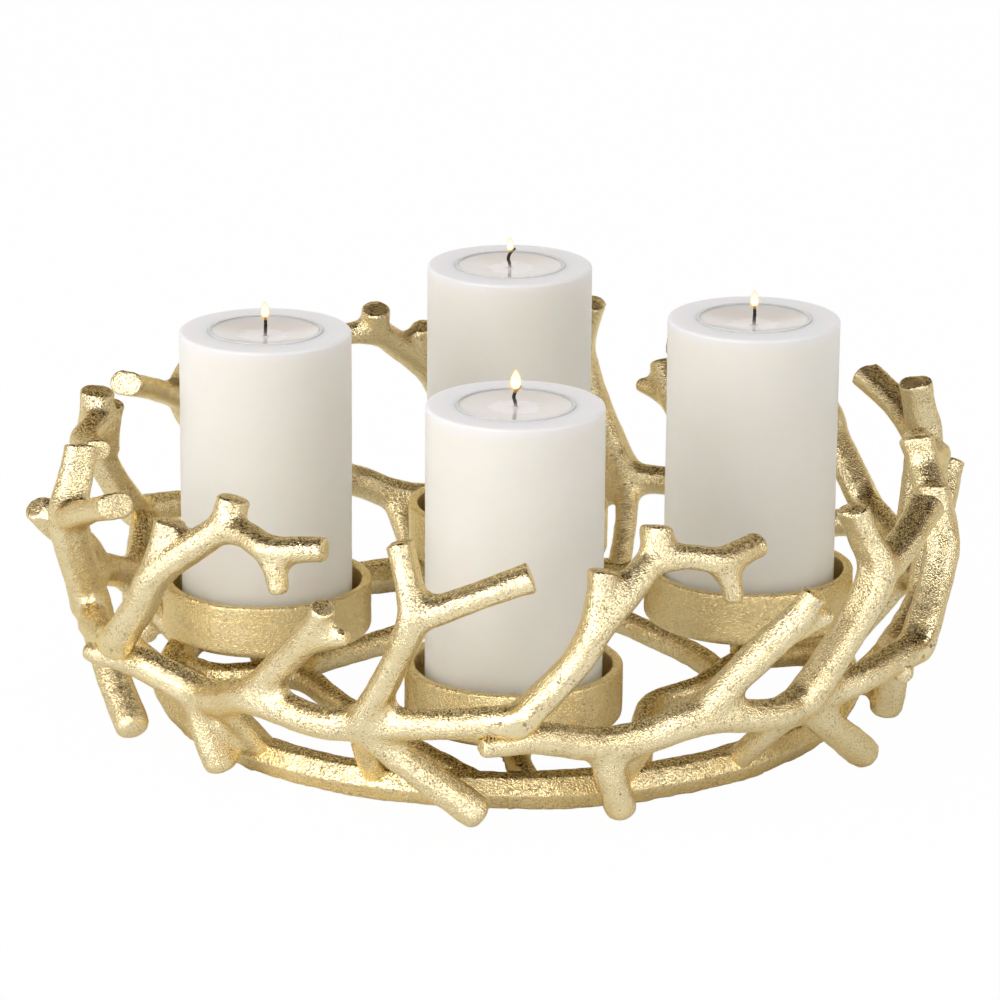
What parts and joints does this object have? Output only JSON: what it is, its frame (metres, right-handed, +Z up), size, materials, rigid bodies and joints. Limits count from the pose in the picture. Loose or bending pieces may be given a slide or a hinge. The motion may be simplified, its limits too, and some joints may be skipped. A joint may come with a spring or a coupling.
{
  "type": "advent candle holder",
  "caption": "Wreath of cast gold branches on a base ring, with dishes inside that hold pillar candles with tealights.",
  "frame": {"origin": "on the floor, at the middle of the wreath", "axes": "+Z up, the front towards -Y, +X to the right seen from the front"},
  "size_m": [0.433, 0.4361, 0.1905],
  "materials": {
    "cast_gold": "sand-cast, plated light gold",
    "dish_gold": "satin light gold",
    "fastener_brass": "plain",
    "candle_wax": "smooth satin wax",
    "clear_cup": "clear",
    "tealight_wax": "smooth wax, melted on top",
    "burnt_wick": "charred cotton",
    "tab_metal": "plain stamped"
  },
  "bodies": {
    "wreath": {"branch_1": "cast_gold", "branch_2": "cast_gold", "branch_3": "cast_gold", "branch_4": "cast_gold", "branch_5": "cast_gold", "branch_6": "cast_gold", "base_rod_1": "cast_gold", "base_rod_2": "cast_gold", "base_rod_3": "cast_gold", "base_rod_4": "cast_gold", "base_rod_5": "cast_gold", "base_rod_6": "cast_gold", "base_rod_7": "cast_gold", "base_rod_8": "cast_gold", "cup_arm_front": "cast_gold", "cup_arm_left": "cast_gold", "cup_arm_right": "cast_gold", "cup_arm_back": "cast_gold", "cup_front": "dish_gold", "cup_left": "dish_gold", "cup_right": "dish_gold", "cup_back": "dish_gold", "cup_bolts": "fastener_brass", "cup_washers": "fastener_brass", "cup_nuts": "fastener_brass"},
    "front_candle": {"candle_front": "candle_wax"},
    "front_tealight": {"tealight_cup_front": "clear_cup", "tealight_wax_front": "tealight_wax", "wick_front": "burnt_wick", "wick_tab_front": "tab_metal"},
    "left_candle": {"candle_left": "candle_wax"},
    "left_tealight": {"tealight_cup_left": "clear_cup", "tealight_wax_left": "tealight_wax", "wick_left": "burnt_wick", "wick_tab_left": "tab_metal"},
    "right_candle": {"candle_right": "candle_wax"},
    "right_tealight": {"tealight_cup_right": "clear_cup", "tealight_wax_right": "tealight_wax", "wick_right": "burnt_wick", "wick_tab_right": "tab_metal"},
    "back_candle": {"candle_back": "candle_wax"},
    "back_tealight": {"tealight_cup_back": "clear_cup", "tealight_wax_back": "tealight_wax", "wick_back": "burnt_wick", "wick_tab_back": "tab_metal"}
  },
  "joints": [
    {"name": "front_candle_lift", "type": "slide", "parent": "wreath", "child": "front_candle", "axis": [0, 0, 1], "range_m": [0, 0.15]},
    {"name": "front_tealight_lift", "type": "slide", "parent": "front_candle", "child": "front_tealight", "axis": [0, 0, 1], "range_m": [0, 0.03]},
    {"name": "left_candle_lift", "type": "slide", "parent": "wreath", "child": "left_candle", "axis": [0, 0, 1], "range_m": [0, 0.15]},
    {"name": "left_tealight_lift", "type": "slide", "parent": "left_candle", "child": "left_tealight", "axis": [0, 0, 1], "range_m": [0, 0.03]},
    {"name": "right_candle_lift", "type": "slide", "parent": "wreath", "child": "right_candle", "axis": [0, 0, 1], "range_m": [0, 0.15]},
    {"name": "right_tealight_lift", "type": "slide", "parent": "right_candle", "child": "right_tealight", "axis": [0, 0, 1], "range_m": [0, 0.03]},
    {"name": "back_candle_lift", "type": "slide", "parent": "wreath", "child": "back_candle", "axis": [0, 0, 1], "range_m": [0, 0.15]},
    {"name": "back_tealight_lift", "type": "slide", "parent": "back_candle", "child": "back_tealight", "axis": [0, 0, 1], "range_m": [0, 0.03]}
  ]
}
